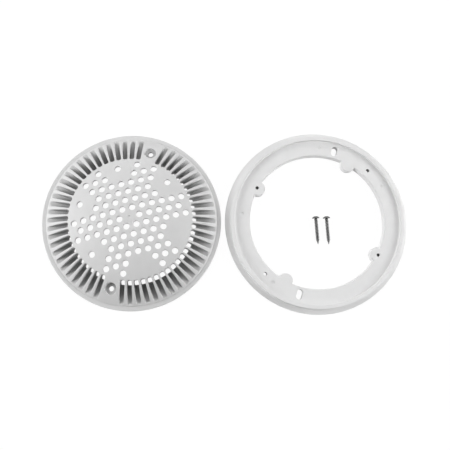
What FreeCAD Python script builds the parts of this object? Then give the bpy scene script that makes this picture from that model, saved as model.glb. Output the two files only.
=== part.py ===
import FreeCAD, Part
import math
import os

# Pool drain cover kit, laid out flat and taken apart: a domed, slotted cover on the left,
# its mounting ring on the right and the two cover screws lying inside the ring.
# Millimetres, +Z up. The origin is on the table, under the middle of the whole layout.

# Cover: flange and dome
COVER_RADIUS = 100.0
FLANGE_THICKNESS = 5.0
FLANGE_WIDTH = 5.0
FLANGE_SEAT_WIDTH = 8.0
FLANGE_EDGE_CHAMFER = 1.2
DOME_HEIGHT = 35.6
DOME_EDGE_STEP = 1.0
CROWN_RADIUS = 193.7
PLATE_THICKNESS = 4.0

# Cover: radial slots between the ribs, open at the inner end and with a flat floor beyond it
SLOT_POSITIONS = 60
SLOTS_LOST_PER_PAD = 2
SLOT_WIDTH = 5.3
SLOT_INNER_RADIUS = 67.2
SLOT_OPENING = 4.5
SLOT_CORNER_CUT = 1.6
RIB_ROOT = 3.1
FLOOR_HEIGHT = 7.2
FLOOR_THICKNESS = 3.0

# Cover: water holes on a triangular grid
HOLE_DIAMETER = 6.8
HOLE_PITCH = 10.88
HOLE_REACH = 6
HOLE_LAND = 2.8
BARE_GRID_RINGS = (0, 19, 28)
CLOSED_HOLES = ((-3, -6), (3, -3))
GATE_MARK_DIAMETER = 3.4
GATE_MARK_DEPTH = 0.4

# Screws
SCREW_DIAMETER = 4.2
SCREW_LENGTH = 32.5
SCREW_TIP_LENGTH = 5.5
SCREW_TIP_DIAMETER = 0.6
SCREW_HEAD_DIAMETER = 8.4
SCREW_HEAD_HEIGHT = 2.7
SCREW_HEAD_RIM = 0.7
SCREW_CROWN_DIAMETER = 4.6

# Screw seats, shared by the cover's two pads and the ring's two tabs
SCREW_CIRCLE_RADIUS = 78.3
PAD_ANGLE = 60.0
HEAD_CLEARANCE = 2.1
HEAD_RECESS_DEPTH = 6.0
HEAD_RECESS_TAPER = 0.5
SCREW_HOLE_CLEARANCE = 0.8
SEAT_THICKNESS = 4.4
SEAT_CORE_DIAMETER = 12.0
PILOT_ALLOWANCE = 0.4
PILOT_DEPTH = 7.0
PILOT_ANGLE = 90.0

# Mounting ring
RING_RADIUS = 104.9
RING_HOLE_RADIUS = 76.9
RING_EDGE_HEIGHT = 1.8
RING_SHOULDER_HEIGHT = 3.4
LEDGE_HEIGHT = 8.2
LIP_HEIGHT = 12.0
LIP_WIDTH = 5.1
COVER_OVERHANG = 0.95
LEDGE_SLOPE = 2.4
RING_EDGE_CHAMFER = 0.5
TAB_COUNT = 4
TAB_RADIUS = 8.25
TAB_REACH = 8.25
FIXING_SLOT_RADIUS = 85.45
FIXING_SLOT_ANGLE = 14.2
FIXING_SLOT_LENGTH = 11.5
FIXING_SLOT_WIDTH = 7.0
NAIL_HOLE_RADIUS = 85.0
NAIL_HOLE_ANGLE = -16.0
NAIL_HOLE_DIAMETER = 4.0

# Layout on the table
COVER_RING_GAP = 4.49
COVER_OFFSET_Y = 0.42
COVER_TURN = 14.9
RING_TURN = 60.4
SCREW_HEADING = -85.7
SCREW_SPACING = 12.35
FIRST_SCREW_X = -1.2
FIRST_SCREW_Y = 6.7

# Every pad, pilot hole, nail hole and fixing slot has a twin across the middle
HALF_TURNS = (0, 180)

# How far a cutting tool runs past the face that it opens
CUT_MARGIN = 2.0

# How closely an edge has to match the radius and height it is looked up by
TOLERANCE = 1e-6

# Worked-out sizes
dome_radius = COVER_RADIUS - FLANGE_WIDTH
dome_edge_height = FLANGE_THICKNESS + DOME_EDGE_STEP
plate_rim = SLOT_INNER_RADIUS - RIB_ROOT
floor_inner_radius = SLOT_INNER_RADIUS + SLOT_OPENING
slot_pitch = 360.0 / SLOT_POSITIONS
head_recess_radius = SCREW_HEAD_DIAMETER / 2 + HEAD_CLEARANCE
screw_hole_radius = SCREW_DIAMETER / 2 + SCREW_HOLE_CLEARANCE
lip_outer_radius = COVER_RADIUS - COVER_OVERHANG
lip_inner_radius = lip_outer_radius - LIP_WIDTH
layout_length = 2 * COVER_RADIUS + COVER_RING_GAP + 2 * RING_RADIUS
cover_x = COVER_RADIUS - layout_length / 2
ring_x = layout_length / 2 - RING_RADIUS

# The dome's wide crown goes over into a tighter bend, without a crease, midway across the ribs' root
shoulder_radius = SLOT_INNER_RADIUS - RIB_ROOT / 2
shoulder_sine = shoulder_radius / CROWN_RADIUS
shoulder_cosine = math.sqrt(1 - shoulder_sine ** 2)
shoulder_height = DOME_HEIGHT - CROWN_RADIUS * (1 - shoulder_cosine)
bend_run = dome_radius - shoulder_radius
bend_fall = shoulder_height - dome_edge_height
bend_depth = bend_fall * shoulder_cosine - bend_run * shoulder_sine
bend_radius = (bend_run ** 2 + bend_fall ** 2) / (2 * bend_depth)
bend_centre_radius = shoulder_radius - bend_radius * shoulder_sine
bend_centre_height = shoulder_height - bend_radius * shoulder_cosine

UP = FreeCAD.Vector(0, 0, 1)
ORIGIN = FreeCAD.Vector(0, 0, 0)


def dome_top(radius):
    """Height of the dome's top face at a distance from the cover's axis."""
    if radius <= shoulder_radius:
        return DOME_HEIGHT - CROWN_RADIUS + math.sqrt(CROWN_RADIUS ** 2 - radius ** 2)
    return bend_centre_height + math.sqrt(bend_radius ** 2 - (radius - bend_centre_radius) ** 2)


def section_point(radius, height):
    return FreeCAD.Vector(radius, 0, height)


def dome_point(radius):
    return section_point(radius, dome_top(radius))


def line(start, end):
    return Part.LineSegment(start, end).toShape()


def lines_through(points):
    return [line(points[i], points[i + 1]) for i in range(len(points) - 1)]


def arc_through(start, middle, end):
    return Part.Arc(start, middle, end).toShape()


def revolved(edges):
    """Turn a closed section in the XZ plane once about Z."""
    face = Part.Face(Part.Wire(edges))
    return face.revolve(ORIGIN, UP, 360)


def cylinder(radius, bottom, top, x=0.0, y=0.0):
    return Part.makeCylinder(radius, top - bottom, FreeCAD.Vector(x, y, bottom), UP)


def prism(points, bottom, top):
    """An upright prism over a closed outline of x, y pairs."""
    corners = [FreeCAD.Vector(x, y, bottom) for x, y in points + points[:1]]
    return Part.Face(Part.Wire(lines_through(corners))).extrude(UP * (top - bottom))


def turned(shape, degrees):
    copy = shape.copy()
    copy.rotate(ORIGIN, UP, degrees)
    return copy


def moved(shape, x, y):
    copy = shape.copy()
    copy.translate(FreeCAD.Vector(x, y, 0))
    return copy


def circle_edges(shape, radius, height):
    """The round edges of a turned shape at one radius and height."""
    found = []
    for edge in shape.Edges:
        if edge.Degenerated or not isinstance(edge.Curve, Part.Circle):
            continue
        same_radius = abs(edge.Curve.Radius - radius) < TOLERANCE
        same_height = abs(edge.Curve.Center.z - height) < TOLERANCE
        if same_radius and same_height:
            found.append(edge)
    return found


def obround(length, width, bottom, top, x):
    """An upright prism with round ends, its length along X and its middle at x."""
    half_flat = (length - width) / 2
    half_width = width / 2
    left = FreeCAD.Vector(x - half_flat, 0, bottom)
    right = FreeCAD.Vector(x + half_flat, 0, bottom)
    side = FreeCAD.Vector(0, half_width, 0)
    end = FreeCAD.Vector(half_width, 0, 0)
    edges = [
        line(left - side, right - side),
        arc_through(right - side, right + end, right + side),
        line(right + side, left + side),
        arc_through(left + side, left - end, left - side),
    ]
    return Part.Face(Part.Wire(edges)).extrude(UP * (top - bottom))


def cover_body():
    """The cover's section turned round: dome, rib ring, slot floor and flange in one."""
    seat_inner = COVER_RADIUS - FLANGE_SEAT_WIDTH
    floor_under = FLOOR_HEIGHT - FLOOR_THICKNESS
    apex = dome_point(0)
    crown_middle = dome_point(shoulder_radius / 2)
    shoulder = dome_point(shoulder_radius)
    bend_middle = dome_point((shoulder_radius + dome_radius) / 2)
    dome_edge = dome_point(dome_radius)
    plate = UP * PLATE_THICKNESS
    under_apex = apex - plate
    under_middle = dome_point(plate_rim / 2) - plate
    under_edge = dome_point(plate_rim) - plate
    outside = [
        under_edge,
        section_point(floor_inner_radius, floor_under),
        section_point(seat_inner, floor_under),
        section_point(seat_inner, 0),
        section_point(COVER_RADIUS, 0),
        section_point(COVER_RADIUS, FLANGE_THICKNESS),
        section_point(dome_radius, FLANGE_THICKNESS),
        dome_edge,
    ]
    edges = [arc_through(under_apex, under_middle, under_edge)]
    edges += lines_through(outside)
    edges.append(arc_through(dome_edge, bend_middle, shoulder))
    edges.append(arc_through(shoulder, crown_middle, apex))
    edges.append(line(apex, under_apex))
    body = revolved(edges)
    return body.makeChamfer(FLANGE_EDGE_CHAMFER, circle_edges(body, COVER_RADIUS, FLANGE_THICKNESS))


def slot_cutter():
    """One slot along +X: cut corners, open under the inner end, its floor running out of the dome."""
    outer_end = dome_radius
    top = DOME_HEIGHT + CUT_MARGIN
    half_width = SLOT_WIDTH / 2
    half_flat = half_width - SLOT_CORNER_CUT
    outline = [
        (SLOT_INNER_RADIUS, half_flat),
        (SLOT_INNER_RADIUS, -half_flat),
        (SLOT_INNER_RADIUS + SLOT_CORNER_CUT, -half_width),
        (outer_end, -half_width),
        (outer_end, half_width),
        (SLOT_INNER_RADIUS + SLOT_CORNER_CUT, half_width),
    ]
    plan = prism(outline, -CUT_MARGIN, top)
    side = [
        section_point(SLOT_INNER_RADIUS - CUT_MARGIN, -CUT_MARGIN),
        section_point(floor_inner_radius, -CUT_MARGIN),
        section_point(floor_inner_radius, FLOOR_HEIGHT),
        section_point(outer_end, FLOOR_HEIGHT),
        section_point(outer_end, top),
        section_point(SLOT_INNER_RADIUS - CUT_MARGIN, top),
    ]
    face = Part.Face(Part.Wire(lines_through(side + side[:1])))
    face.translate(FreeCAD.Vector(0, -SLOT_WIDTH, 0))
    return plan.common(face.extrude(FreeCAD.Vector(0, 2 * SLOT_WIDTH, 0)))


def slot_angles():
    """Every slot position except those that the two screw pads take."""
    half_turn_slots = SLOT_POSITIONS // 2 - SLOTS_LOST_PER_PAD
    first = PAD_ANGLE + slot_pitch * (SLOTS_LOST_PER_PAD + 1) / 2
    angles = []
    for half in HALF_TURNS:
        angles += [first + half + slot_pitch * i for i in range(half_turn_slots)]
    return angles


def hole_centres():
    """Triangular grid points that carry a hole, as x, y pairs."""
    centres = []
    limit = SLOT_INNER_RADIUS - HOLE_LAND - HOLE_DIAMETER / 2
    steps = range(-HOLE_REACH, HOLE_REACH + 1)
    for i in steps:
        for j in steps:
            grid_ring = i * i - i * j + j * j
            if grid_ring in BARE_GRID_RINGS or (i, j) in CLOSED_HOLES:
                continue
            x = HOLE_PITCH * (i - j / 2)
            y = HOLE_PITCH * j * math.sqrt(3) / 2
            if math.hypot(x, y) <= limit:
                centres.append((x, y))
    return centres


def screw_pad_cutter():
    """Head recess, screw hole and the core from below for one pad on the +X side."""
    pad_top = dome_top(SCREW_CIRCLE_RADIUS)
    seat_top = pad_top - HEAD_RECESS_DEPTH
    seat_bottom = seat_top - SEAT_THICKNESS
    open_height = HEAD_RECESS_DEPTH + head_recess_radius
    floor_radius = head_recess_radius - HEAD_RECESS_TAPER
    open_radius = floor_radius + HEAD_RECESS_TAPER * open_height / HEAD_RECESS_DEPTH
    recess = Part.makeCone(floor_radius, open_radius, open_height, UP * seat_top)
    bore = cylinder(screw_hole_radius, -CUT_MARGIN, seat_top + CUT_MARGIN)
    core = cylinder(SEAT_CORE_DIAMETER / 2, -CUT_MARGIN, seat_bottom)
    return moved(recess.fuse([bore, core]), SCREW_CIRCLE_RADIUS, 0)


def drain_cover():
    body = cover_body()
    slot = slot_cutter()
    cutters = [turned(slot, angle) for angle in slot_angles()]
    pad = screw_pad_cutter()
    cutters += [turned(pad, PAD_ANGLE + half) for half in HALF_TURNS]
    hole = cylinder(HOLE_DIAMETER / 2, 0, DOME_HEIGHT + CUT_MARGIN)
    cutters += [moved(hole, x, y) for x, y in hole_centres()]
    mark_floor = DOME_HEIGHT - GATE_MARK_DEPTH
    cutters.append(cylinder(GATE_MARK_DIAMETER / 2, mark_floor, DOME_HEIGHT + CUT_MARGIN))
    return body.cut(cutters)


def ring_body():
    """The ring's section turned round: flat base, sloping flank, raised lip and ledge."""
    section = [
        section_point(RING_HOLE_RADIUS, 0),
        section_point(RING_RADIUS, 0),
        section_point(RING_RADIUS, RING_EDGE_HEIGHT),
        section_point(lip_outer_radius, RING_SHOULDER_HEIGHT),
        section_point(lip_outer_radius, LIP_HEIGHT),
        section_point(lip_inner_radius, LIP_HEIGHT),
        section_point(lip_inner_radius, LEDGE_HEIGHT),
        section_point(RING_HOLE_RADIUS, LEDGE_HEIGHT),
    ]
    body = revolved(lines_through(section + section[:1]))
    body = body.makeChamfer(LEDGE_SLOPE, circle_edges(body, lip_inner_radius, LEDGE_HEIGHT))
    lip_edges = circle_edges(body, lip_inner_radius, LIP_HEIGHT)
    lip_edges += circle_edges(body, lip_outer_radius, LIP_HEIGHT)
    lip_edges += circle_edges(body, RING_RADIUS, RING_EDGE_HEIGHT)
    return body.makeChamfer(RING_EDGE_CHAMFER, lip_edges)


def mounting_ring():
    tab = cylinder(TAB_RADIUS, 0, LEDGE_HEIGHT, RING_HOLE_RADIUS - TAB_REACH + TAB_RADIUS)
    tabs = [turned(tab, 360.0 / TAB_COUNT * i) for i in range(TAB_COUNT)]
    body = ring_body().fuse(tabs).removeSplitter()
    top = LEDGE_HEIGHT + CUT_MARGIN
    pilot_radius = (SCREW_DIAMETER - PILOT_ALLOWANCE) / 2
    pilot = cylinder(pilot_radius, LEDGE_HEIGHT - PILOT_DEPTH, top, SCREW_CIRCLE_RADIUS)
    nail_hole = cylinder(NAIL_HOLE_DIAMETER / 2, -CUT_MARGIN, top, NAIL_HOLE_RADIUS)
    slot = obround(FIXING_SLOT_LENGTH, FIXING_SLOT_WIDTH, -CUT_MARGIN, LIP_HEIGHT, FIXING_SLOT_RADIUS)
    cutters = []
    for half in HALF_TURNS:
        cutters.append(turned(pilot, PILOT_ANGLE + half))
        cutters.append(turned(nail_hole, NAIL_HOLE_ANGLE + half))
        cutters.append(turned(slot, FIXING_SLOT_ANGLE + half))
    return body.cut(cutters)


def screw():
    """One screw lying on the table: it rests on its head's rim and the end of its shank."""
    head_radius = SCREW_HEAD_DIAMETER / 2
    shank_radius = SCREW_DIAMETER / 2
    tip_radius = SCREW_TIP_DIAMETER / 2
    shank_end = SCREW_LENGTH - SCREW_TIP_LENGTH
    section = [
        section_point(0, 0),
        section_point(SCREW_CROWN_DIAMETER / 2, 0),
        section_point(head_radius, SCREW_HEAD_HEIGHT - SCREW_HEAD_RIM),
        section_point(head_radius, SCREW_HEAD_HEIGHT),
        section_point(shank_radius, SCREW_HEAD_HEIGHT),
        section_point(shank_radius, shank_end),
        section_point(tip_radius, SCREW_LENGTH),
        section_point(0, SCREW_LENGTH),
    ]
    solid = revolved(lines_through(section + section[:1]))
    tilt = math.atan2(head_radius - shank_radius, shank_end - SCREW_HEAD_HEIGHT)
    crown_height = head_radius * math.cos(tilt) + SCREW_HEAD_HEIGHT * math.sin(tilt)
    solid.rotate(ORIGIN, FreeCAD.Vector(0, 1, 0), 90 + math.degrees(tilt))
    solid.translate(UP * crown_height)
    return turned(solid, SCREW_HEADING)


def cover_screws():
    one = screw()
    places = [FIRST_SCREW_X, FIRST_SCREW_X + SCREW_SPACING]
    return Part.makeCompound([moved(one, x, FIRST_SCREW_Y) for x in places])


os.makedirs("parts", exist_ok=True)
nodes = {
    "drain_cover": moved(turned(drain_cover(), COVER_TURN), cover_x, COVER_OFFSET_Y),
    "mounting_ring": moved(turned(mounting_ring(), RING_TURN), ring_x, 0),
    "cover_screws": moved(cover_screws(), ring_x, 0),
}
for name, shape in nodes.items():
    shape.exportStep(os.path.join("parts", name + ".step"))
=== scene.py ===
import math

import bmesh
import bpy
from mathutils import Matrix, Vector
from mathutils.geometry import delaunay_2d_cdt
from mathutils.kdtree import KDTree


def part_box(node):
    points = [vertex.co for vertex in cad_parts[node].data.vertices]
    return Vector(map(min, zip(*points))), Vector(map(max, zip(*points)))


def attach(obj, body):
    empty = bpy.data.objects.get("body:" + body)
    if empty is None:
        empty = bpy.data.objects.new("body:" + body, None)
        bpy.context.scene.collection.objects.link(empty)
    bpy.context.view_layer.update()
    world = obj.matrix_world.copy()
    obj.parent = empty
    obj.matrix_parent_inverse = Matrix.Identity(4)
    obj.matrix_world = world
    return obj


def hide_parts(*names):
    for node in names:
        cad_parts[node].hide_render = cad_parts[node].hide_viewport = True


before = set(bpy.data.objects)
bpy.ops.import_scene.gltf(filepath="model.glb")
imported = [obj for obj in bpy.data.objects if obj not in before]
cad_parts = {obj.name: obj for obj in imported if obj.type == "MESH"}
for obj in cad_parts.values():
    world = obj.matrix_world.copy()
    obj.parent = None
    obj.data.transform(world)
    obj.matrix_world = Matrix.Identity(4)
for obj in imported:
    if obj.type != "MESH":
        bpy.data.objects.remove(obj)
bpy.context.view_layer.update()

# A pool drain cover kit: rounded meshes and finishes for the cover, its mounting ring and its screws.
# Shapes are in millimetres, and each piece is made about its own middle and then moved to its place.

MM = 0.001


def box_in_mm(node):
    """Lowest and highest corner of a CAD node, in millimetres."""
    low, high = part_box(node)
    return Vector(low) / MM, Vector(high) / MM


# Cover: flange, dome and plate, in millimetres
cover_low, cover_high = box_in_mm("drain_cover")
cover_centre = (cover_low + cover_high) / 2
COVER_RADIUS = (cover_high.x - cover_low.x) / 2
DOME_HEIGHT = cover_high.z
COVER_TURN = math.radians(14.9)
FLANGE_THICKNESS = 5.0
FLANGE_WIDTH = 5.0
FLANGE_SEAT_WIDTH = 8.0
FLANGE_ROUND = 0.9
FLANGE_FOOT_ROUND = 0.4
FLANGE_FILLET = 0.2
CROWN_RADIUS = 193.7
DOME_EDGE_STEP = 1.0
DOME_EDGE_ROUND = 0.5
PLATE_THICKNESS = 4.0

# Cover: radial slots
SLOT_POSITIONS = 60
SLOTS_LOST_PER_PAD = 2
SLOT_WIDTH = 5.3
SLOT_CORNER = 1.9
SLOT_INNER_RADIUS = 67.2
SLOT_OPENING = 4.5
RIB_ROOT = 3.1
RIB_ROUND = 0.6
FLOOR_FILLET = 0.4
FLOOR_HEIGHT = 7.2
FLOOR_THICKNESS = 3.0

# Cover: water holes, gate mark and screw pads. The hole grid's bare rings are squared distances in pitches
HOLE_RADIUS = 3.4
HOLE_ROUND = 0.4
HOLE_PITCH = 10.88
HOLE_REACH = 6
HOLE_LAND = 2.8
BARE_GRID_RINGS = (0, 19, 28)
CLOSED_HOLES = ((-3, -6), (3, -3))
GATE_MARK_RADIUS = 1.7
GATE_MARK_FLOOR_RADIUS = 1.0
GATE_MARK_DEPTH = 0.7
SCREW_CIRCLE_RADIUS = 78.3
PAD_ANGLE = math.radians(60.0)
RECESS_RADIUS = 6.5
RECESS_FLOOR_RADIUS = 5.8
RECESS_ROUND = 0.5
RECESS_DEPTH = 6.0
BORE_RADIUS = 2.9
SEAT_THICKNESS = 4.4
CORE_RADIUS = 6.0

# Mounting ring, in millimetres
ring_low, ring_high = box_in_mm("mounting_ring")
ring_centre = (ring_low + ring_high) / 2
RING_RADIUS = (ring_high.x - ring_low.x) / 2
LIP_HEIGHT = ring_high.z
RING_TURN = math.radians(60.4)
RING_HOLE_RADIUS = 76.9
RING_EDGE_HEIGHT = 1.8
RING_EDGE_ROUND = 0.5
RING_SHOULDER_HEIGHT = 3.4
LEDGE_HEIGHT = 8.2
LEDGE_ROUND = 1.0
LIP_RADIUS = 99.05
LIP_WIDTH = 4.6
LIP_ROUND = 0.3
COVE_RADIUS = 2.4
COVE_SHARE = 0.85
TAB_COUNT = 4
TAB_RADIUS = 8.25
TAB_CENTRE_RADIUS = RING_HOLE_RADIUS
PILOT_RADIUS = 1.9
PILOT_DEPTH = 7.0
FIXING_SLOT_RADIUS = 85.45
FIXING_SLOT_ANGLE = math.radians(14.2)
FIXING_SLOT_LENGTH = 11.5
FIXING_SLOT_WIDTH = 7.0
NAIL_HOLE_RADIUS = 2.0
NAIL_CIRCLE_RADIUS = 85.0
NAIL_ANGLE = math.radians(-16.0)
SMALL_HOLE_ROUND = 0.25
EJECTOR_CIRCLE_RADIUS = 86.4
EJECTOR_ANGLES = [math.radians(angle) for angle in (-31.8, 26.4, 113.8, 172.6)]
EJECTOR_MARK_RADIUS = 1.5
EJECTOR_MARK_ROUND = 0.6
EJECTOR_MARK_DEPTH = 0.65

# Every pad, pilot hole, nail hole and fixing slot has a twin across the middle
HALF_TURNS = (0, math.pi)

# Cover screws, in millimetres. The thread's foot and crest are half widths, as shares of its pitch
SCREW_COUNT = 2
SCREW_RADIUS = 2.1
SCREW_CORE_RADIUS = 1.5
SCREW_LENGTH = 32.5
SCREW_TIP_LENGTH = 5.5
SCREW_TIP_RADIUS = 0.15
THREAD_PITCH = 1.7
THREAD_START = 1.2
THREAD_FOOT = 0.36
THREAD_CREST = 0.072
HEAD_RADIUS = 4.2
HEAD_HEIGHT = 2.7
HEAD_RIM = 0.7
HEAD_RIM_ROUND = 0.25
DRIVE_REACH = 2.3
DRIVE_WIDTH = 1.0
DRIVE_DEPTH = 1.3
DRIVE_WALL_RUN = DRIVE_WIDTH / 4
DRIVE_END_RUN = DRIVE_REACH / 2
SCREW_HEADING = math.radians(-85.7)
SCREW_SPACING = 12.35
FIRST_SCREW_X = -1.2
FIRST_SCREW_Y = 6.7

# Fineness of the meshes
ROUND_STEPS = 4
HOLE_SIDES = 28
SMALL_HOLE_SIDES = 24
RECESS_SIDES = 48
SEED_STEP = 3.2
UNDER_SEED_STEP = 2 * SEED_STEP
SEED_CLEARANCE = 1.3
FLOOR_STEPS = 9
RING_SIDES = 240
SCREW_SIDES = 48
THREAD_ROWS_PER_TURN = 14
SHARP_ANGLE = math.radians(35.0)
WELD_DISTANCE = 0.002
CDT_CLEARANCE = 1e-5


# Mesh helpers
def reached(faces, walls, start):
    """The faces that can be reached from a starting edge without crossing a wall edge."""
    walls = {frozenset(edge) for edge in walls}
    sides = {}
    for number, face in enumerate(faces):
        for pair in zip(face, face[1:] + face[:1]):
            sides.setdefault(frozenset(pair), []).append(number)
    found = set(sides[frozenset(start)])
    waiting = list(found)
    while waiting:
        face = faces[waiting.pop()]
        for pair in zip(face, face[1:] + face[:1]):
            side = frozenset(pair)
            if side not in walls:
                fresh = [number for number in sides[side] if number not in found]
                found.update(fresh)
                waiting.extend(fresh)
    return [faces[number] for number in sorted(found)]


class Shell:
    """Points and faces of one piece, gathered in millimetres."""

    def __init__(self):
        self.points = []
        self.faces = []

    def add(self, points):
        """Keep a row of points and give their numbers."""
        first = len(self.points)
        self.points.extend(points)
        return list(range(first, len(self.points)))

    def loft(self, rows, closed=True):
        """Join rows of points by faces."""
        for near, far in zip(rows, rows[1:]):
            count = len(near)
            for i in range(count if closed else count - 1):
                j = (i + 1) % count
                self.faces.append((near[i], near[j], far[j], far[i]))

    def fill(self, loops, height, seeds=()):
        """Triangles over the plan inside the first loop and outside the others, through seed points."""
        numbers = []
        edges = []
        for loop in loops:
            first = len(numbers)
            numbers.extend(loop)
            edges.extend((first + i, first + (i + 1) % len(loop)) for i in range(len(loop)))
        numbers.extend(self.add([(x, y, height(math.hypot(x, y))) for x, y in seeds]))
        plan = [Vector(self.points[number][:2]) for number in numbers]
        result = delaunay_2d_cdt(plan, edges, [], 1, CDT_CLEARANCE)
        origins = result[3]
        merged = {number: group[0] for group in origins for number in group}
        walls = [(merged[start], merged[end]) for start, end in edges]
        faces = [[origins[corner][0] for corner in face] for face in result[2]]
        self.faces.extend([numbers[corner] for corner in face] for face in reached(faces, walls, walls[0]))

    def seeds(self, loops, step, reach):
        """A triangular grid of plan points out to a reach, clear of the loops."""
        tree = KDTree(sum(len(loop) for loop in loops))
        for loop in loops:
            for number in loop:
                x, y, z = self.points[number]
                tree.insert((x, y, 0), number)
        tree.balance()
        row_step = step * math.sqrt(3) / 2
        found = []
        rows = int(reach / row_step)
        columns = int(reach / step)
        for row in range(-rows, rows + 1):
            for column in range(-columns, columns + 1):
                x = (column + row % 2 / 2) * step
                y = row * row_step
                if math.hypot(x, y) < reach and tree.find((x, y, 0))[2] > SEED_CLEARANCE:
                    found.append((x, y))
        return found

    def piece(self, name, place):
        """Make the welded, smooth-shaded mesh object, moved to its place."""
        mesh = bpy.data.meshes.new(name)
        mesh.from_pydata(self.points, [], self.faces)
        work = bmesh.new()
        work.from_mesh(mesh)
        bmesh.ops.remove_doubles(work, verts=work.verts, dist=WELD_DISTANCE)
        bmesh.ops.dissolve_degenerate(work, edges=work.edges, dist=WELD_DISTANCE)
        loose = [vert for vert in work.verts if not vert.link_faces]
        bmesh.ops.delete(work, geom=loose, context="VERTS")
        bmesh.ops.recalc_face_normals(work, faces=work.faces)
        bmesh.ops.transform(work, matrix=Matrix.Scale(MM, 4) @ place, verts=work.verts)
        work.to_mesh(mesh)
        work.free()
        mesh.shade_smooth()
        mesh.set_sharp_from_angle(angle=SHARP_ANGLE)
        result = bpy.data.objects.new(name, mesh)
        bpy.context.scene.collection.objects.link(result)
        return result


def held(value):
    """A value held between 0 and 1."""
    return min(max(value, 0), 1)


def around(sides):
    """Evenly spaced angles of a full turn."""
    return [2 * math.pi * i / sides for i in range(sides)]


def turned(x, y, angle):
    """A plan point turned about the middle."""
    return (x * math.cos(angle) - y * math.sin(angle), x * math.sin(angle) + y * math.cos(angle))


def circle(x, y, radius, sides):
    """Plan points of a circle."""
    step = 2 * math.pi / sides
    return [(x + radius * math.cos(i * step), y + radius * math.sin(i * step)) for i in range(sides)]


def raised(outline, height):
    """Points above a plan outline, at a height that depends on the distance from the middle."""
    return [(x, y, height(math.hypot(x, y))) for x, y in outline]


def arc(radius, height, size, start, end, steps=ROUND_STEPS):
    """Profile points of an arc about a point at a radius and height, between two angles in degrees."""
    found = []
    for step in range(steps + 1):
        angle = math.radians(start + (end - start) * step / steps)
        found.append((radius + size * math.cos(angle), height + size * math.sin(angle)))
    return found


def quarter(size):
    """Spread and drop of the steps of a rounded edge, from the surface above down to the wall."""
    found = []
    for step in range(ROUND_STEPS + 1):
        angle = math.pi / 2 * step / ROUND_STEPS
        found.append((size * (1 - math.sin(angle)), size * (1 - math.cos(angle))))
    return found


def rounded_rows(shell, outline, size, height):
    """Rows of points round a rounded edge: outline(spread) is the opening, widened by a spread."""
    rows = []
    for spread, drop in quarter(size):
        rows.append(shell.add(raised(outline(spread), lambda radius: height(radius) - drop)))
    return rows


def lathe_rows(shell, angles, profile):
    """Rings of points at given angles, one for each radius and height of a profile."""
    rows = []
    for radius, height in profile:
        rows.append(shell.add([(radius * math.cos(a), radius * math.sin(a), height) for a in angles]))
    return rows


# The cover's surfaces by distance from its middle: a wide crown, then a bend that leaves it smoothly
dome_radius = COVER_RADIUS - FLANGE_WIDTH
shoulder_radius = SLOT_INNER_RADIUS - RIB_ROOT / 2
crown_centre_height = DOME_HEIGHT - CROWN_RADIUS
shoulder_lean = math.asin(shoulder_radius / CROWN_RADIUS)
shoulder_height = crown_centre_height + CROWN_RADIUS * math.cos(shoulder_lean)
shoulder_run = dome_radius - shoulder_radius
shoulder_fall = shoulder_height - FLANGE_THICKNESS - DOME_EDGE_STEP
inward = shoulder_fall * math.cos(shoulder_lean) - shoulder_run * math.sin(shoulder_lean)
bend_radius = (shoulder_run ** 2 + shoulder_fall ** 2) / (2 * inward)
bend_centre_radius = shoulder_radius - bend_radius * math.sin(shoulder_lean)
bend_centre_height = shoulder_height - bend_radius * math.cos(shoulder_lean)
floor_inner_radius = SLOT_INNER_RADIUS + SLOT_OPENING
slot_end_radius = bend_centre_radius + math.sqrt(bend_radius ** 2 - (FLOOR_HEIGHT - bend_centre_height) ** 2)
edge_lean = math.asin((dome_radius - bend_centre_radius) / bend_radius)
edge_centre_radius = dome_radius - DOME_EDGE_ROUND
edge_start_radius = edge_centre_radius + DOME_EDGE_ROUND * math.sin(edge_lean)
plate_end_radius = SLOT_INNER_RADIUS - RIB_ROOT
seat_inner_radius = COVER_RADIUS - FLANGE_SEAT_WIDTH


def dome_top(radius):
    """Height of the dome: a wide crown that bends down more from its shoulder to its edge."""
    if radius <= shoulder_radius:
        return crown_centre_height + math.sqrt(CROWN_RADIUS ** 2 - radius ** 2)
    return bend_centre_height + math.sqrt(bend_radius ** 2 - (radius - bend_centre_radius) ** 2)


def cover_under(radius):
    """Height of the cover's underside."""
    floor_under = FLOOR_HEIGHT - FLOOR_THICKNESS
    if radius <= plate_end_radius:
        return dome_top(radius) - PLATE_THICKNESS
    if radius >= floor_inner_radius:
        return floor_under
    share = (radius - plate_end_radius) / (floor_inner_radius - plate_end_radius)
    start = dome_top(plate_end_radius) - PLATE_THICKNESS
    return start + share * (floor_under - start)


def slot_angles():
    """Directions of the slots, which skip the two screw pads."""
    pitch = 2 * math.pi / SLOT_POSITIONS
    per_half = SLOT_POSITIONS // 2 - SLOTS_LOST_PER_PAD
    found = []
    for half_turn in HALF_TURNS:
        first = PAD_ANGLE + half_turn + pitch * (SLOTS_LOST_PER_PAD + 1) / 2
        found.extend(first + i * pitch for i in range(per_half))
    return found


def hole_centres():
    """Plan middles of the water holes, on a triangular grid."""
    reach = SLOT_INNER_RADIUS - HOLE_LAND - HOLE_RADIUS
    found = []
    for i in range(-2 * HOLE_REACH, 2 * HOLE_REACH + 1):
        for j in range(-2 * HOLE_REACH, 2 * HOLE_REACH + 1):
            x = HOLE_PITCH * (i - j / 2)
            y = HOLE_PITCH * j * math.sqrt(3) / 2
            bare = i * i - i * j + j * j in BARE_GRID_RINGS or (i, j) in CLOSED_HOLES
            if math.hypot(x, y) <= reach and not bare:
                found.append((x, y))
    return found


def beside(radius, side, angle):
    """Plan point at a distance from the middle and to the side of a direction."""
    return turned(math.sqrt(radius ** 2 - side ** 2), side, angle)


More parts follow.
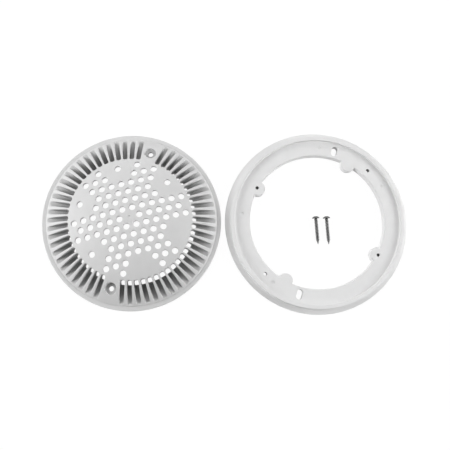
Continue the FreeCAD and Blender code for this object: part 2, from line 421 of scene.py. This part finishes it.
def slot_mouth(angle, spread):
    """Plan outline of a slot's open inner part, from its floor round its inner end and back."""
    half = SLOT_WIDTH / 2
    side_radii = (floor_inner_radius, floor_inner_radius - SLOT_CORNER)
    outline = [beside(radius, -half - spread, angle) for radius in side_radii]
    for side, start in ((-1, 270), (1, 180)):
        bend = arc(SLOT_INNER_RADIUS + SLOT_CORNER, side * (half - SLOT_CORNER), SLOT_CORNER + spread,
                   start, start - 90)
        outline.extend(turned(x, y, angle) for x, y in bend)
    outline.extend(beside(radius, half + spread, angle) for radius in reversed(side_radii))
    return outline


def slot_section(radius):
    """Across a slot: side distances and heights of its rounded edges, walls and floor."""
    top = dome_top(radius)
    depth = top - FLOOR_HEIGHT
    edge = min(RIB_ROUND, depth / 2)
    fillet = min(FLOOR_FILLET, depth / 2)
    half = SLOT_WIDTH / 2
    section = [(half + spread, top - drop) for spread, drop in quarter(edge)]
    section.extend((half - drop, FLOOR_HEIGHT + spread) for spread, drop in quarter(fillet))
    return section


def build_slot(shell, angle, radii):
    """One slot: rows across its floor and round its open inner end; gives its loops above and below."""
    rows = []
    for radius in radii:
        section = slot_section(radius)
        across = [(-side, height) for side, height in section] + [(0, FLOOR_HEIGHT)]
        across += [(side, height) for side, height in reversed(section)]
        rows.append(shell.add([beside(radius, side, angle) + (height,) for side, height in across]))
    shell.loft(rows, closed=False)
    mouth = rounded_rows(shell, lambda spread: slot_mouth(angle, spread), RIB_ROUND, dome_top)
    outline = slot_mouth(angle, 0)
    step_up = FLOOR_THICKNESS + FLOOR_FILLET
    mouth.append(shell.add(raised(outline, lambda radius: cover_under(radius) + step_up)))
    mouth.append(shell.add(raised(outline, cover_under)))
    shell.loft(mouth, closed=False)
    first_floor = ROUND_STEPS + 1
    face = rows[0][first_floor:len(rows[0]) - first_floor]
    shell.faces.append(face + [mouth[-1][-1], mouth[-1][0]])
    sides = [row[0] for row in reversed(rows[1:])], [row[-1] for row in rows[1:]]
    end = [rows[-1][len(rows[-1]) // 2]]
    return sides[0] + mouth[0] + sides[1] + end, mouth[-1]


def build_screw_pad(shell, angle):
    """One screw recess with its seat and bore; gives the rings on the dome and on the underside."""
    x, y = turned(SCREW_CIRCLE_RADIUS, 0, angle)
    seat_top = dome_top(SCREW_CIRCLE_RADIUS) - RECESS_DEPTH
    seat_bottom = seat_top - SEAT_THICKNESS
    rows = rounded_rows(shell, lambda spread: circle(x, y, RECESS_RADIUS + spread, RECESS_SIDES),
                        RECESS_ROUND, dome_top)
    steps = (
        (RECESS_FLOOR_RADIUS, seat_top),
        (BORE_RADIUS, seat_top),
        (BORE_RADIUS, seat_bottom),
        (CORE_RADIUS, seat_bottom),
    )
    for radius, height in steps:
        rows.append(shell.add([point + (height,) for point in circle(x, y, radius, RECESS_SIDES)]))
    rows.append(shell.add(raised(circle(x, y, CORE_RADIUS, RECESS_SIDES), cover_under)))
    shell.loft(rows)
    return rows[0], rows[-1]


def build_cover():
    """The domed cover with every edge rounded."""
    shell = Shell()
    top_loops = []
    under_loops = []

    # Water holes, screw pads and the gate mark
    for x, y in hole_centres():
        rows = rounded_rows(shell, lambda spread: circle(x, y, HOLE_RADIUS + spread, HOLE_SIDES),
                            HOLE_ROUND, dome_top)
        rows.append(shell.add(raised(circle(x, y, HOLE_RADIUS, HOLE_SIDES), cover_under)))
        shell.loft(rows)
        top_loops.append(rows[0])
        under_loops.append(rows[-1])
    for half_turn in HALF_TURNS:
        above, below = build_screw_pad(shell, PAD_ANGLE + half_turn)
        top_loops.append(above)
        under_loops.append(below)
    mark_top = shell.add(raised(circle(0, 0, GATE_MARK_RADIUS, SMALL_HOLE_SIDES), dome_top))
    mark_floor = shell.add(raised(circle(0, 0, GATE_MARK_FLOOR_RADIUS, SMALL_HOLE_SIDES),
                                  lambda radius: DOME_HEIGHT - GATE_MARK_DEPTH))
    shell.loft([mark_top, mark_floor])
    shell.faces.append(mark_floor)
    top_loops.append(mark_top)

    # Slots, cut down to a flat floor that runs out through the dome
    floor_run = slot_end_radius - floor_inner_radius
    radii = [floor_inner_radius + floor_run * i / FLOOR_STEPS for i in range(FLOOR_STEPS + 1)]
    for angle in slot_angles():
        above, below = build_slot(shell, angle, radii)
        top_loops.append(above)
        under_loops.append(below)

    # Flange, its seat and the underside
    flange_side = COVER_RADIUS - FLANGE_ROUND
    foot_side = COVER_RADIUS - FLANGE_FOOT_ROUND
    profile = arc(edge_centre_radius, dome_top(edge_start_radius) - DOME_EDGE_ROUND * math.cos(edge_lean),
                  DOME_EDGE_ROUND, 90 - math.degrees(edge_lean), 0)
    profile += arc(dome_radius + FLANGE_FILLET, FLANGE_THICKNESS + FLANGE_FILLET, FLANGE_FILLET, 180, 270)
    profile += arc(flange_side, FLANGE_THICKNESS - FLANGE_ROUND, FLANGE_ROUND, 90, 0)
    profile += arc(foot_side, FLANGE_FOOT_ROUND, FLANGE_FOOT_ROUND, 0, -90)
    profile += [(seat_inner_radius, 0), (seat_inner_radius, cover_under(seat_inner_radius))]
    rows = lathe_rows(shell, around(RING_SIDES), profile)
    shell.loft(rows)
    top_loops.insert(0, rows[0])
    shell.fill(top_loops, dome_top, shell.seeds(top_loops, SEED_STEP, edge_start_radius))
    under_loops.insert(0, rows[-1])
    seeds = shell.seeds(under_loops, UNDER_SEED_STEP, seat_inner_radius)
    for radius in (plate_end_radius, floor_inner_radius):
        seeds.extend(circle(0, 0, radius, RING_SIDES))
    shell.fill(under_loops, cover_under, seeds)
    place = Matrix.Translation((cover_centre.x, cover_centre.y, 0)) @ Matrix.Rotation(COVER_TURN, 4, "Z")
    return shell.piece("cover_grate", place)


# The ring's surfaces by distance from its middle. Partway up the cove, the lathed lip takes over
lip_inner_radius = LIP_RADIUS - LIP_WIDTH
cove_start = lip_inner_radius - COVE_RADIUS


def ledge_top(radius):
    """Height of the ring's ledge and of the cove that rises from it to the lip."""
    rise = min(max(radius - cove_start, 0), COVE_RADIUS)
    return LEDGE_HEIGHT + COVE_RADIUS - math.sqrt(COVE_RADIUS ** 2 - rise ** 2)


def tabbed_edge(spread):
    """Plan outline of the ring's inner edge with its tabs, moved into the material by a spread."""
    square_sum = RING_HOLE_RADIUS ** 2 + TAB_CENTRE_RADIUS ** 2 - TAB_RADIUS ** 2
    meet = math.acos(square_sum / (2 * RING_HOLE_RADIUS * TAB_CENTRE_RADIUS))
    meet_side = RING_HOLE_RADIUS * math.sin(meet)
    tab_start = math.degrees(math.atan2(meet_side, RING_HOLE_RADIUS * math.cos(meet) - TAB_CENTRE_RADIUS))
    pitch = 2 * math.pi / TAB_COUNT
    sides = RING_SIDES // TAB_COUNT
    outline = []
    for tab in range(TAB_COUNT):
        front = arc(TAB_CENTRE_RADIUS, 0, TAB_RADIUS - spread, 360 - tab_start, tab_start, RECESS_SIDES)
        outline.extend(turned(x, y, tab * pitch) for x, y in front)
        for i in range(sides + 1):
            angle = meet + (pitch - 2 * meet) * i / sides
            outline.append(turned(RING_HOLE_RADIUS + spread, 0, tab * pitch + angle))
    return outline


def fixing_slot(angle, spread):
    """Plan outline of one of the ring's oblong fixing slots, widened by a spread."""
    offset = (FIXING_SLOT_LENGTH - FIXING_SLOT_WIDTH) / 2
    outline = []
    for end, start in ((1, -90), (-1, 90)):
        bend = arc(FIXING_SLOT_RADIUS + end * offset, 0, FIXING_SLOT_WIDTH / 2 + spread, start, start + 180,
                   SMALL_HOLE_SIDES)
        outline.extend(turned(x, y, angle) for x, y in bend)
    return outline


def build_ring():
    """The stepped mounting ring with every edge rounded."""
    shell = Shell()
    tab_pitch = 2 * math.pi / TAB_COUNT
    base_loops = []
    ledge_loops = []

    def opening(outline, size, bottom):
        """One opening in the ledge: its rounded edge and its wall down to a height."""
        rows = rounded_rows(shell, outline, size, ledge_top)
        rows.append(shell.add(raised(outline(0), lambda radius: bottom)))
        shell.loft(rows)
        ledge_loops.append(rows[0])
        return rows[-1]

    def round_opening(distance, angle, radius, size, bottom):
        """One round opening in the ledge, at a distance and a direction from the middle."""
        x, y = turned(distance, 0, angle)
        return opening(lambda spread: circle(x, y, radius + spread, SMALL_HOLE_SIDES), size, bottom)

    # Inner edge with its tabs, fixing slots, nail holes, and pilot holes in every second tab
    base_loops.append(opening(tabbed_edge, LEDGE_ROUND, 0))
    for half_turn in HALF_TURNS:
        slot_angle = FIXING_SLOT_ANGLE + half_turn
        base_loops.append(opening(lambda spread: fixing_slot(slot_angle, spread), SMALL_HOLE_ROUND, 0))
        base_loops.append(round_opening(NAIL_CIRCLE_RADIUS, NAIL_ANGLE + half_turn, NAIL_HOLE_RADIUS,
                                        SMALL_HOLE_ROUND, 0))
        shell.faces.append(round_opening(SCREW_CIRCLE_RADIUS, tab_pitch + half_turn, PILOT_RADIUS,
                                         SMALL_HOLE_ROUND, LEDGE_HEIGHT - PILOT_DEPTH))

    # Shallow round marks that ejector pins leave in the ledge
    for angle in EJECTOR_ANGLES:
        shell.faces.append(round_opening(EJECTOR_CIRCLE_RADIUS, angle, EJECTOR_MARK_RADIUS,
                                         EJECTOR_MARK_ROUND, LEDGE_HEIGHT - EJECTOR_MARK_DEPTH))

    # Lip, flank and base
    handover_angle = -math.degrees(math.acos(COVE_SHARE))
    flank_slope = math.degrees(math.atan2(RING_SHOULDER_HEIGHT - RING_EDGE_HEIGHT, RING_RADIUS - LIP_RADIUS))
    profile = arc(cove_start, LEDGE_HEIGHT + COVE_RADIUS, COVE_RADIUS, handover_angle, 0)
    profile += arc(lip_inner_radius + LIP_ROUND, LIP_HEIGHT - LIP_ROUND, LIP_ROUND, 180, 90)
    profile += arc(LIP_RADIUS - LIP_ROUND, LIP_HEIGHT - LIP_ROUND, LIP_ROUND, 90, 0)
    profile += [(LIP_RADIUS, RING_SHOULDER_HEIGHT)]
    edge_drop = RING_EDGE_ROUND / math.tan(math.radians(45 + flank_slope / 2))
    profile += arc(RING_RADIUS - RING_EDGE_ROUND, RING_EDGE_HEIGHT - edge_drop, RING_EDGE_ROUND,
                   90 - flank_slope, 0)
    profile += [(RING_RADIUS, 0)]
    rows = lathe_rows(shell, around(RING_SIDES), profile)
    shell.loft(rows)
    ledge_loops.insert(0, rows[0])
    base_loops.insert(0, rows[-1])
    seeds = [seed for seed in shell.seeds(ledge_loops, SEED_STEP, cove_start - SEED_CLEARANCE)
             if math.hypot(*seed) > RING_HOLE_RADIUS - TAB_RADIUS]
    shell.fill(ledge_loops, ledge_top, seeds)
    shell.fill(base_loops, lambda radius: 0)
    place = Matrix.Translation((ring_centre.x, ring_centre.y, 0)) @ Matrix.Rotation(RING_TURN, 4, "Z")
    return shell.piece("ring_body", place)


def drive_depth(x, y):
    """Depth of the cross-shaped drive recess at a point of a screw's head."""
    along = max(abs(x), abs(y))
    across = min(abs(x), abs(y))
    wall = held((DRIVE_WIDTH / 2 - across) / DRIVE_WALL_RUN)
    end = held((DRIVE_REACH - along) / DRIVE_END_RUN)
    return DRIVE_DEPTH * wall * end


def screw_point(distance, angle):
    """A point of the threaded shank, at a distance from the crown and an angle about the axis."""
    tip = max(distance - (SCREW_LENGTH - SCREW_TIP_LENGTH), 0) / SCREW_TIP_LENGTH
    core = SCREW_CORE_RADIUS + (SCREW_TIP_RADIUS - SCREW_CORE_RADIUS) * tip
    crest = SCREW_RADIUS + (SCREW_TIP_RADIUS - SCREW_RADIUS) * tip
    phase = (distance / THREAD_PITCH - angle / (2 * math.pi)) % 1
    flank = held((THREAD_FOOT - abs(phase - 0.5)) / (THREAD_FOOT - THREAD_CREST))
    grown = held((distance - HEAD_HEIGHT) / THREAD_START)
    radius = core + (crest - core) * flank * grown
    return (radius * math.cos(angle), radius * math.sin(angle), distance)


def build_screw(name, x, y):
    """One cover screw lying on its head's rim and its shank, with a thread and a cross recess."""
    shell = Shell()
    angles = around(SCREW_SIDES)
    rows = []
    crown_rise = HEAD_HEIGHT - HEAD_RIM
    crown_size = (HEAD_RADIUS ** 2 + crown_rise ** 2) / (2 * crown_rise)
    crown_steps = SCREW_SIDES // 2
    for step in range(1, crown_steps + 1):
        radius = (HEAD_RADIUS - HEAD_RIM_ROUND) * step / crown_steps
        fall = crown_size - math.sqrt(crown_size ** 2 - radius ** 2)
        row = []
        for angle in angles:
            side, up = turned(radius, 0, angle)
            row.append((side, up, fall + drive_depth(side, up)))
        rows.append(shell.add(row))
    shell.faces.append(rows[0])
    rim_steps = ((HEAD_RADIUS, crown_rise + HEAD_RIM_ROUND), (HEAD_RADIUS, HEAD_HEIGHT - HEAD_RIM_ROUND),
                 (HEAD_RADIUS - HEAD_RIM_ROUND, HEAD_HEIGHT))
    rows += lathe_rows(shell, angles, rim_steps)
    thread_rows = round((SCREW_LENGTH - HEAD_HEIGHT) / THREAD_PITCH * THREAD_ROWS_PER_TURN)
    for step in range(thread_rows + 1):
        distance = HEAD_HEIGHT + (SCREW_LENGTH - HEAD_HEIGHT) * step / thread_rows
        rows.append(shell.add([screw_point(distance, angle) for angle in angles]))
    shell.faces.append(rows[-1])
    shell.loft(rows)
    rest_length = SCREW_LENGTH - SCREW_TIP_LENGTH - HEAD_HEIGHT
    tilt = math.atan2(HEAD_RADIUS - SCREW_RADIUS, rest_length)
    crown_height = HEAD_RADIUS * math.cos(tilt) + HEAD_HEIGHT * math.sin(tilt)
    place = Matrix.Translation((ring_centre.x + x, ring_centre.y + y, crown_height))
    place @= Matrix.Rotation(SCREW_HEADING, 4, "Z") @ Matrix.Rotation(math.pi / 2 + tilt, 4, "Y")
    return shell.piece(name, place)


# Finishes: tones are grey values, scales are in noise cells a metre, reaches and depths are in metres
NOISE_RANGE = (0.3, 0.7)
NOISE_ROUGHNESS = 0.5
COARSE_DETAIL = 4.0
FINE_DETAIL = 3.0
COVER_TONE = 0.68
# Painted shade: reaches within which the cover's and ring's base colour is darkened in recesses
COVER_PAINTED_SHADE_REACH = 0.012
RING_TONE = 0.78
RING_PAINTED_SHADE_REACH = 0.008
# Painted shade: the darkest share of the base colour in recesses, and the occlusion above which none is
# painted
DARKEST_PAINTED_SHADE_SHARE = 0.2
PAINTED_SHADE_LIMIT = 0.5
PLASTIC_MOTTLE = 0.012
PLASTIC_MOTTLE_SCALE = 90.0
PLASTIC_ROUGHNESS = (0.46, 0.58)
PLASTIC_ROUGHNESS_SCALE = 400.0
PLASTIC_SPECULAR = 0.35
PLASTIC_GRAIN_SCALE = 2600.0
PLASTIC_GRAIN_NOISE_ROUGHNESS = 0.6
PLASTIC_GRAIN_STRENGTH = 0.25
PLASTIC_GRAIN_DEPTH = 0.00004
STEEL_TONES = (0.08, 0.14)
STEEL_TONE_SCALE = 700.0
# Painted shade: reach within which the steel's base colour is darkened in recesses
STEEL_PAINTED_SHADE_REACH = 0.002
STEEL_ROUGHNESS = (0.16, 0.3)
STEEL_ROUGHNESS_SCALE = 1500.0
STEEL_GRAIN_SCALE = 4000.0
STEEL_GRAIN_STRENGTH = 0.2
STEEL_GRAIN_DEPTH = 0.00003
PAPER_TONE = 0.9
SHADOW_TONE = 0.06
GROUND_GLOW = 0.96


def grey(value):
    """An opaque grey."""
    return (value, value, value, 1)


def new_material(name):
    """A material with its node tree and its main shader."""
    material = bpy.data.materials.new(name)
    material.use_nodes = True
    return material, material.node_tree, material.node_tree.nodes["Principled BSDF"]


def noise(tree, scale, detail=FINE_DETAIL, roughness=NOISE_ROUGHNESS):
    """A noise texture in the object's own coordinates."""
    place = tree.nodes.new("ShaderNodeTexCoord")
    texture = tree.nodes.new("ShaderNodeTexNoise")
    texture.inputs["Scale"].default_value = scale
    texture.inputs["Detail"].default_value = detail
    texture.inputs["Roughness"].default_value = roughness
    tree.links.new(place.outputs["Object"], texture.inputs["Vector"])
    return texture.outputs["Fac"]


def ramp(tree, factor, limits, values):
    """A value that goes from the first to the second of two values, between two limits of a factor."""
    node = tree.nodes.new("ShaderNodeMapRange")
    node.inputs["From Min"].default_value = limits[0]
    node.inputs["From Max"].default_value = limits[1]
    node.inputs["To Min"].default_value = values[0]
    node.inputs["To Max"].default_value = values[1]
    tree.links.new(factor, node.inputs["Value"])
    return node.outputs["Result"]


def bump(tree, shader, height, strength, distance):
    """Fine relief on a shader's normal."""
    node = tree.nodes.new("ShaderNodeBump")
    node.inputs["Strength"].default_value = strength
    node.inputs["Distance"].default_value = distance
    tree.links.new(height, node.inputs["Height"])
    tree.links.new(node.outputs["Normal"], shader.inputs["Normal"])


def painted_recess_shade(tree, tone, reach):
    """A tone darkened by painted shade in recesses narrower than about a reach in metres."""
    # Painted shade: ambient occlusion darkens the base colour in recesses, where shade falls
    hollow = tree.nodes.new("ShaderNodeAmbientOcclusion")
    hollow.only_local = True
    hollow.inputs["Distance"].default_value = reach
    shaded_tone = tree.nodes.new("ShaderNodeMath")
    shaded_tone.operation = "MULTIPLY"
    tree.links.new(tone, shaded_tone.inputs[0])
    share = ramp(tree, hollow.outputs["AO"], (0.0, PAINTED_SHADE_LIMIT), (DARKEST_PAINTED_SHADE_SHARE, 1.0))
    tree.links.new(share, shaded_tone.inputs[1])
    return shaded_tone.outputs["Value"]


def moulded_plastic(name, value, reach):
    """Satin moulded plastic: faint mottling, painted shade in deep recesses, fine grain and uneven gloss."""
    material, tree, shader = new_material(name)
    mottle = noise(tree, PLASTIC_MOTTLE_SCALE, COARSE_DETAIL)
    tone = ramp(tree, mottle, NOISE_RANGE, (value - PLASTIC_MOTTLE, value + PLASTIC_MOTTLE))
    # Painted shade in the recesses goes into the base colour
    tree.links.new(painted_recess_shade(tree, tone, reach), shader.inputs["Base Color"])
    roughness = ramp(tree, noise(tree, PLASTIC_ROUGHNESS_SCALE), NOISE_RANGE, PLASTIC_ROUGHNESS)
    tree.links.new(roughness, shader.inputs["Roughness"])
    shader.inputs["Specular IOR Level"].default_value = PLASTIC_SPECULAR
    grain = noise(tree, PLASTIC_GRAIN_SCALE, roughness=PLASTIC_GRAIN_NOISE_ROUGHNESS)
    bump(tree, shader, grain, PLASTIC_GRAIN_STRENGTH, PLASTIC_GRAIN_DEPTH)
    return material


def screw_steel():
    """Plain steel: darker and lighter patches, painted shade in the thread root and other recesses, fine
    grain and uneven gloss.
    """
    material, tree, shader = new_material("screw_steel")
    tone = ramp(tree, noise(tree, STEEL_TONE_SCALE, COARSE_DETAIL), NOISE_RANGE, STEEL_TONES)
    # Painted shade in the thread root and other recesses goes into the base colour
    tree.links.new(painted_recess_shade(tree, tone, STEEL_PAINTED_SHADE_REACH), shader.inputs["Base Color"])
    roughness = ramp(tree, noise(tree, STEEL_ROUGHNESS_SCALE), NOISE_RANGE, STEEL_ROUGHNESS)
    tree.links.new(roughness, shader.inputs["Roughness"])
    shader.inputs["Metallic"].default_value = 1.0
    bump(tree, shader, noise(tree, STEEL_GRAIN_SCALE), STEEL_GRAIN_STRENGTH, STEEL_GRAIN_DEPTH)
    return material


def mix_by_sight(tree, plain, seen, output):
    """Use one shader for the light that falls on things, and another for rays that show the background."""
    path = tree.nodes.new("ShaderNodeLightPath")
    sight = path.outputs["Is Camera Ray"]
    for kind in ("Is Glossy Ray", "Is Transmission Ray"):
        either = tree.nodes.new("ShaderNodeMath")
        either.operation = "MAXIMUM"
        tree.links.new(sight, either.inputs[0])
        tree.links.new(path.outputs[kind], either.inputs[1])
        sight = either.outputs["Value"]
    mix = tree.nodes.new("ShaderNodeMixShader")
    tree.links.new(sight, mix.inputs["Fac"])
    tree.links.new(plain, mix.inputs[1])
    tree.links.new(seen, mix.inputs[2])
    tree.links.new(mix.outputs["Shader"], tree.nodes[output].inputs["Surface"])


def white_ground():
    """Ground that looks white and takes a faint shadow, and lights the object as pale paper does."""
    material, tree, shader = new_material("white_ground")
    tree.nodes.remove(shader)
    paper = tree.nodes.new("ShaderNodeBsdfDiffuse")
    paper.inputs["Color"].default_value = grey(PAPER_TONE)
    shade = tree.nodes.new("ShaderNodeBsdfDiffuse")
    shade.inputs["Color"].default_value = grey(SHADOW_TONE)
    glow = tree.nodes.new("ShaderNodeEmission")
    glow.inputs["Strength"].default_value = GROUND_GLOW
    seen = tree.nodes.new("ShaderNodeAddShader")
    tree.links.new(shade.outputs["BSDF"], seen.inputs[0])
    tree.links.new(glow.outputs["Emission"], seen.inputs[1])
    mix_by_sight(tree, paper.outputs["BSDF"], seen.outputs["Shader"], "Material Output")
    return material


# Pieces, each in the place of its CAD node
def dress(piece, node, material):
    """Give a piece its material, and put it in the place of a CAD node."""
    piece.data.materials.append(material)
    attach(piece, "root")
    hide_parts(node)


cover_plastic = moulded_plastic("cover_plastic", COVER_TONE, COVER_PAINTED_SHADE_REACH)
ring_plastic = moulded_plastic("ring_plastic", RING_TONE, RING_PAINTED_SHADE_REACH)
steel = screw_steel()
dress(build_cover(), "drain_cover", cover_plastic)
dress(build_ring(), "mounting_ring", ring_plastic)
for number in range(SCREW_COUNT):
    screw = build_screw("screw_%d" % (number + 1), FIRST_SCREW_X + number * SCREW_SPACING, FIRST_SCREW_Y)
    dress(screw, "cover_screws", steel)

# Ground, in metres, a hair below the pieces
GROUND_SIZE = 6.0
GROUND_DROP = 0.0002
ground_mesh = bpy.data.meshes.new("ground")
half_ground = GROUND_SIZE / 2
ground_mesh.from_pydata([(-half_ground, -half_ground, 0), (half_ground, -half_ground, 0),
                         (half_ground, half_ground, 0), (-half_ground, half_ground, 0)], [], [(0, 1, 2, 3)])
ground_mesh.materials.append(white_ground())
ground = bpy.data.objects.new("ground", ground_mesh)
ground.location.z = -GROUND_DROP
bpy.context.scene.collection.objects.link(ground)

# Soft round lamps that face the middle: azimuth and elevation in degrees, and strength in watts
LAMP_DISTANCE = 1.6
LAMP_SIZE = 1.0
LAMPS = {
    "right": (0.0, 30.0, 18.5),
    "left": (180.0, 27.0, 22.5),
    "back": (85.0, 29.0, 9.0),
    "front": (315.0, 15.0, 4.0),
}
for name, (azimuth, elevation, watts) in LAMPS.items():
    lamp = bpy.data.lights.new(name + "_lamp", "AREA")
    lamp.shape = "DISK"
    lamp.size = LAMP_SIZE
    lamp.energy = watts
    holder = bpy.data.objects.new(name + "_lamp", lamp)
    bpy.context.scene.collection.objects.link(holder)
    level = math.cos(math.radians(elevation))
    place = Vector((level * math.cos(math.radians(azimuth)), level * math.sin(math.radians(azimuth)),
                    math.sin(math.radians(elevation)))) * LAMP_DISTANCE
    holder.location = place
    holder.rotation_euler = (-place).to_track_quat("-Z", "Y").to_euler()

# World: faint light all round, and a white backdrop to look at
WORLD_LIGHT = 0.03
BACKDROP_GLOW = 1.0
world = bpy.data.worlds.new("world")
world.use_nodes = True
faint = world.node_tree.nodes["Background"]
backdrop = world.node_tree.nodes.new("ShaderNodeBackground")
for shader, strength in ((faint, WORLD_LIGHT), (backdrop, BACKDROP_GLOW)):
    shader.inputs["Color"].default_value = grey(1)
    shader.inputs["Strength"].default_value = strength
mix_by_sight(world.node_tree, faint.outputs["Background"], backdrop.outputs["Background"], "World Output")
bpy.context.scene.world = world

# Camera, nearly straight above: its place in metres, its angles in radians and a shift of half a pixel
CAMERA_PLACE = (-0.035625, -0.11158, 0.65131)
CAMERA_PITCH = 0.16444
CAMERA_ROLL = -0.05091
CAMERA_LENS = 46.408
SENSOR_WIDTH = 36.0
IMAGE_WIDTH = 450
CAMERA_SHIFT = 0.5 / IMAGE_WIDTH
camera_data = bpy.data.cameras.new("camera")
camera_data.sensor_width = SENSOR_WIDTH
camera_data.lens = CAMERA_LENS
camera_data.shift_x = -CAMERA_SHIFT
camera_data.shift_y = CAMERA_SHIFT
camera = bpy.data.objects.new("camera", camera_data)
camera.matrix_world = (Matrix.Translation(CAMERA_PLACE) @ Matrix.Rotation(CAMERA_PITCH, 4, "X")
                       @ Matrix.Rotation(CAMERA_ROLL, 4, "Y"))
bpy.context.scene.collection.objects.link(camera)
bpy.context.scene.camera = camera
bpy.context.scene.view_settings.view_transform = "Standard"
